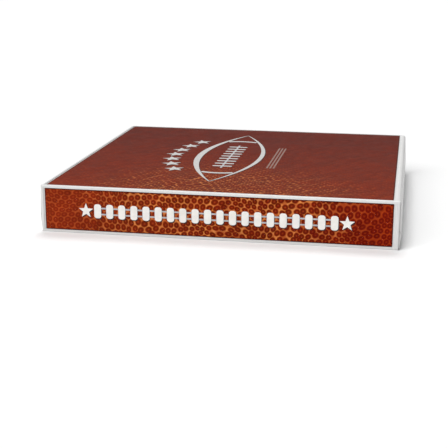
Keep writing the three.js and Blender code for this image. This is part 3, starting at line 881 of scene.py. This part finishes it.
def soften(obj, width, segments=2):
    """Rounds a piece's sharp edges with a bevel."""
    sharp = math.radians(40)
    modifier = obj.modifiers.new("soften", "BEVEL")
    modifier.width = width * MM
    modifier.segments = segments
    modifier.limit_method = "ANGLE"
    modifier.angle_limit = sharp
    modifier.use_clamp_overlap = True
    modifier.harden_normals = True


def latch(name, x, node_name):
    """A latch with its window and its row of grip ribs."""
    behind, front = OPEN - 3, OPEN + 7
    piece = from_bmesh(name, prism("yz", latch_section(), x - LATCH_HALF, x + LATCH_HALF))
    half = latch_face()
    outline = [(x + u, z) for u, z in half] + [(x - u, z) for u, z in reversed(half)]
    boolean(piece, from_bmesh("face", prism("xz", outline, behind, front)), "INTERSECT")
    window = rounded_rectangle(x - WINDOW_HALF, WINDOW_LOW, x + WINDOW_HALF, WINDOW_HIGH, 0.5, 4)
    boolean(piece, from_bmesh("window", prism("xz", window, behind, front)), "DIFFERENCE")
    for place in range(-4, 5):
        middle = x + RIB_PITCH * place
        rib = rounded_rectangle(middle - RIB_HALF, RIB_LOW, middle + RIB_HALF, RIB_HIGH, 0.33, 3)
        boolean(piece, from_bmesh("rib", prism("xz", rib, OPEN + 2.4, OPEN + 2.92, 0.08, 1)), "UNION")
    soften(piece, 0.16)
    dress(piece, latch_white, node_name, "latch_plastic", node_name)


def latch_fold(name, x):
    """The thin plastic that joins a latch's rolled top to the lid's wall."""
    wall, half = OPEN - lid_inset(19.9), LATCH_HALF - 0.2
    top = (OPEN + LATCH_OUT, LATCH_TOP + LATCH_R)
    upper = (wall + 0.02, 20.3)
    line = [(wall - 0.3, 20.35), upper, *curve(upper, (wall + 0.2, 19.85), top, 5)]
    under = [(OPEN + LATCH_OUT, LATCH_TOP + 0.45), (wall - 0.3, 19.3)]
    piece = from_bmesh(name, prism("yz", line + under, x - half, x + half))
    dress(piece, latch_white, None, "latch_plastic")
    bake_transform(piece)


for side, x in (("left", -LATCH_X), ("right", LATCH_X)):
    latch("latch_plate_" + side, x, "latch_" + side)
    latch_fold("latch_fold_" + side, x)


# ---------------------------------------------------------------- rings
def refine(node_name, material, width, segments):
    """A CAD piece of the ring mechanism, with its edges rounded and a moulded finish."""
    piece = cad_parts[node_name]
    piece.data.materials.clear()
    piece.data.materials.append(material)
    soften(piece, width, segments)


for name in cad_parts:
    if name.startswith(("ring_post", "ring_arm")):
        refine(name, ring_white, 0.45, 3)
    elif name.startswith("ring_pin"):
        refine(name, pin_grey, 0.25, 2)
    elif name.startswith(("rail_cap", "ring_rail")):
        refine(name, ring_white, 0.3, 2)


# ---------------------------------------------------------------- floor, light and camera, in metres
def paper_floor(reach):
    """A matt white paper floor, out to reach on every side."""
    mesh = bpy.data.meshes.new("floor")
    corners = [(-reach, -reach, 0), (reach, -reach, 0), (reach, reach, 0), (-reach, reach, 0)]
    mesh.from_pydata(corners, [], [(0, 1, 2, 3)])
    material, tree, shader = new_material("floor_paper")
    fibre = noise(tree, object_space(tree), 3.0, 2.0)
    paper = mix(tree, fibre, (0.95, 0.95, 0.95), (0.97, 0.97, 0.97))
    tree.links.new(paper, shader.inputs["Base Color"])
    shader.inputs["Roughness"].default_value = 0.9
    shader.inputs["Specular IOR Level"].default_value = 0.1
    mesh.materials.append(material)
    link("floor", mesh)


def soft_light(name, energy, degrees, towards):
    """A distant light as wide as a large soft box; towards is the way to it."""
    light = bpy.data.lights.new(name, "SUN")
    light.energy = energy
    light.angle = math.radians(degrees)
    lamp = bpy.data.objects.new(name, light)
    bpy.context.scene.collection.objects.link(lamp)
    lamp.rotation_euler = Vector(towards).to_track_quat("Z", "Y").to_euler()


paper_floor(30.0)
soft_light("overhead", 0.97, 24, (-0.17, -0.14, 0.975))
soft_light("back_high", 1.15, 26, (-0.06, 0.42, 0.90))
soft_light("front_left", 1.47, 50, (-0.47, -0.60, 0.64))

world = bpy.data.worlds.new("studio")
bpy.context.scene.world = world
world.use_nodes = True
background = world.node_tree.nodes["Background"]
background.inputs[0].default_value = (1.0, 1.0, 1.0, 1)
# The backdrop past the floor is white to look at, and adds only a little light.
FILL_LIGHT, BACKDROP = 0.15, 1.0
seen = world.node_tree.nodes.new("ShaderNodeLightPath").outputs["Is Camera Ray"]
strength = span(world.node_tree, seen, 0.0, 1.0, FILL_LIGHT, BACKDROP, smooth=False)
world.node_tree.links.new(strength, background.inputs[1])

AIM = Vector((-0.01876, -0.0029, -0.02629))
DISTANCE = 0.9798
camera_data = bpy.data.cameras.new("camera")
camera = bpy.data.objects.new("camera", camera_data)
bpy.context.scene.collection.objects.link(camera)
bpy.context.scene.camera = camera
azimuth, elevation, roll = math.radians(10.35), math.radians(15.53), math.radians(0.15)
level = math.cos(elevation)
back = Vector((math.sin(azimuth) * level, -math.cos(azimuth) * level, math.sin(elevation)))
camera.location = AIM + back * DISTANCE
turn = (-back).to_track_quat("-Z", "Y").to_matrix().to_4x4() @ Matrix.Rotation(roll, 4, "Z")
camera.rotation_euler = turn.to_euler()
camera_data.sensor_width = 36
camera_data.lens = 82.04
camera_data.clip_start = 0.05
camera_data.clip_end = 100
bpy.context.scene.view_settings.view_transform = "Standard"
